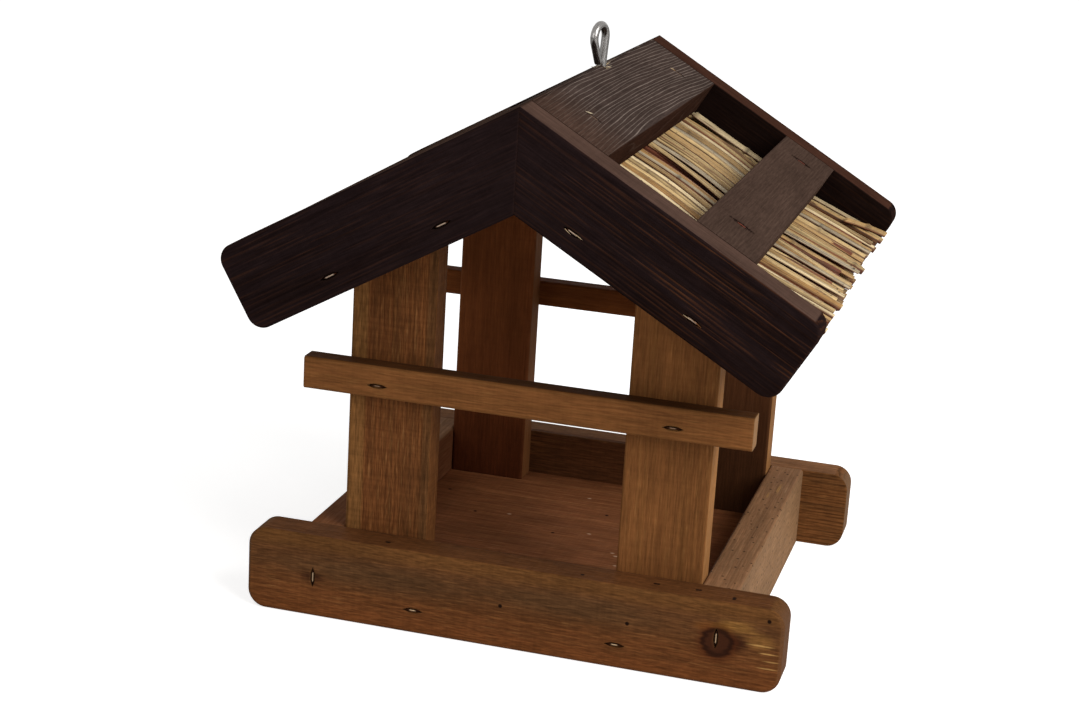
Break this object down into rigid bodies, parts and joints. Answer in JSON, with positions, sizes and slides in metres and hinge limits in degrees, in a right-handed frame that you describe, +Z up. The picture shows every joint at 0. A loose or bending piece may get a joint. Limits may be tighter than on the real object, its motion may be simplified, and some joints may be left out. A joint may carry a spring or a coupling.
{
  "type": "hanging bird feeder house",
  "caption": "Open bird feeder house of stained wooden laths with a railed floor tray, flat posts, perch bars, a reed-thatched gable roof and a steel screw eye in the ridge to hang it by.",
  "frame": {"origin": "under the middle of the house, level with the lower edges of the tray rails", "axes": "+X right along the front rail, +Y from front to back, +Z up"},
  "size_m": [0.306, 0.3, 0.3159],
  "materials": {
    "dark_stained_pine": "satin",
    "brown_stained_pine": "satin",
    "roof_board_pine": "matte",
    "reed": "matte",
    "staple_wire": "satin",
    "eye_steel": "polished"
  },
  "bodies": {
    "house": {"front_left_gable_board": "dark_stained_pine", "front_right_gable_board": "dark_stained_pine", "back_left_gable_board": "dark_stained_pine", "back_right_gable_board": "dark_stained_pine", "left_ridge_slat": "dark_stained_pine", "right_ridge_slat": "dark_stained_pine", "left_mid_slat": "dark_stained_pine", "right_mid_slat": "dark_stained_pine", "front_rail": "brown_stained_pine", "back_rail": "brown_stained_pine", "left_side_rail": "brown_stained_pine", "right_side_rail": "brown_stained_pine", "front_left_post": "brown_stained_pine", "front_right_post": "brown_stained_pine", "back_left_post": "brown_stained_pine", "back_right_post": "brown_stained_pine", "front_perch": "brown_stained_pine", "back_perch": "brown_stained_pine", "floor_board": "brown_stained_pine", "left_upper_roof_board": "roof_board_pine", "left_lower_roof_board": "roof_board_pine", "right_upper_roof_board": "roof_board_pine", "right_lower_roof_board": "roof_board_pine", "left_thatch": "reed", "right_thatch": "reed", "left_thatch_bed": "reed", "right_thatch_bed": "reed", "rail_staples": "staple_wire", "perch_staples": "staple_wire", "gable_staples": "staple_wire", "slat_staples": "staple_wire", "post_foot_staples": "staple_wire", "post_head_staples": "staple_wire"},
    "eye": {"screw_eye": "eye_steel"}
  },
  "joints": [
    {"name": "eye_turn", "type": "hinge", "parent": "house", "child": "eye", "pos_m": [0, 0.0085, 0.292], "axis": [0, 0, 1], "range_deg": [-90, 90]}
  ]
}
